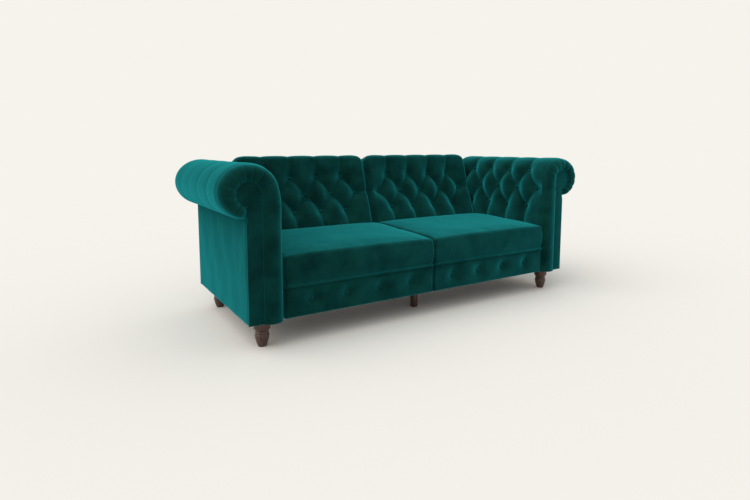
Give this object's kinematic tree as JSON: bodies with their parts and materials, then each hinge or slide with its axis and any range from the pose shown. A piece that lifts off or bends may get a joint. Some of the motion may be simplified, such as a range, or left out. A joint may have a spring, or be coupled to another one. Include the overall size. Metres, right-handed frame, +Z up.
{
  "type": "convertible sofa",
  "caption": "Scroll-arm sofa bed in tufted velvet with a split back whose halves fold flat to the rear, a two-part seat, turned wooden feet and a plain centre leg.",
  "frame": {"origin": "centre of the bounding box in plan, at floor level", "axes": "+X to the right seen from the front along the width, +Y from the front to the rear, +Z up"},
  "size_m": [2.12, 0.8492, 0.7872],
  "materials": {
    "velvet": "teal velvet pile",
    "foot_wood": "dark brown gloss stain",
    "frame_timber": "sawn softwood",
    "hinge_steel": "black satin paint",
    "zinc_steel": "zinc plated",
    "webbing": "woven elastic strap",
    "dust_cloth": "black non-woven cloth"
  },
  "bodies": {
    "sofa_base": {"arm_bolts": "zinc_steel", "arm_buttons": "velvet", "arm_frame_left": "frame_timber", "arm_frame_right": "frame_timber", "arm_front_band_left": "velvet", "arm_front_band_right": "velvet", "arm_front_panel_left": "velvet", "arm_front_panel_right": "velvet", "arm_outer_panel_left": "velvet", "arm_outer_panel_right": "velvet", "arm_pad_left": "velvet", "arm_pad_right": "velvet", "arm_rear_panel_left": "velvet", "arm_rear_panel_right": "velvet", "arm_roll_core_left": "frame_timber", "arm_roll_core_right": "frame_timber", "center_leg_front": "foot_wood", "center_leg_plates": "hinge_steel", "center_leg_rear": "foot_wood", "center_leg_screws": "zinc_steel", "foot_front_left": "foot_wood", "foot_front_right": "foot_wood", "foot_hanger_bolts": "zinc_steel", "foot_rear_left": "foot_wood", "foot_rear_right": "foot_wood", "hinge_pins_left": "zinc_steel", "hinge_pins_right": "zinc_steel", "hinge_seat_arms_left": "hinge_steel", "hinge_seat_arms_right": "hinge_steel", "hinge_seat_bolts": "zinc_steel", "seat_cross_rails_left": "frame_timber", "seat_cross_rails_right": "frame_timber", "seat_cushion_left": "velvet", "seat_cushion_right": "velvet", "seat_dust_cover_left": "dust_cloth", "seat_dust_cover_right": "dust_cloth", "seat_front_buttons": "velvet", "seat_front_pad_left": "velvet", "seat_front_pad_right": "velvet", "seat_joining_bolts": "zinc_steel", "seat_side_rails_left": "frame_timber", "seat_side_rails_right": "frame_timber", "seat_webbing_left": "webbing", "seat_webbing_right": "webbing", "seat_welt_left": "velvet", "seat_welt_right": "velvet"},
    "left_back": {"back_buttons_left": "velvet", "back_frame_left": "frame_timber", "back_pad_left": "velvet", "back_rear_panel_left": "velvet", "back_webbing_left": "webbing", "hinge_back_arms_left": "hinge_steel", "hinge_back_bolts_left": "zinc_steel"},
    "right_back": {"back_buttons_right": "velvet", "back_frame_right": "frame_timber", "back_pad_right": "velvet", "back_rear_panel_right": "velvet", "back_webbing_right": "webbing", "hinge_back_arms_right": "hinge_steel", "hinge_back_bolts_right": "zinc_steel"}
  },
  "joints": [
    {"name": "left_back_recline", "type": "hinge", "parent": "sofa_base", "child": "left_back", "pos_m": [-0.398, 0.239, 0.309], "axis": [-1, 0, 0], "range_deg": [-8, 72]},
    {"name": "right_back_recline", "type": "hinge", "parent": "sofa_base", "child": "right_back", "pos_m": [0.398, 0.239, 0.309], "axis": [-1, 0, 0], "range_deg": [-8, 72]}
  ]
}
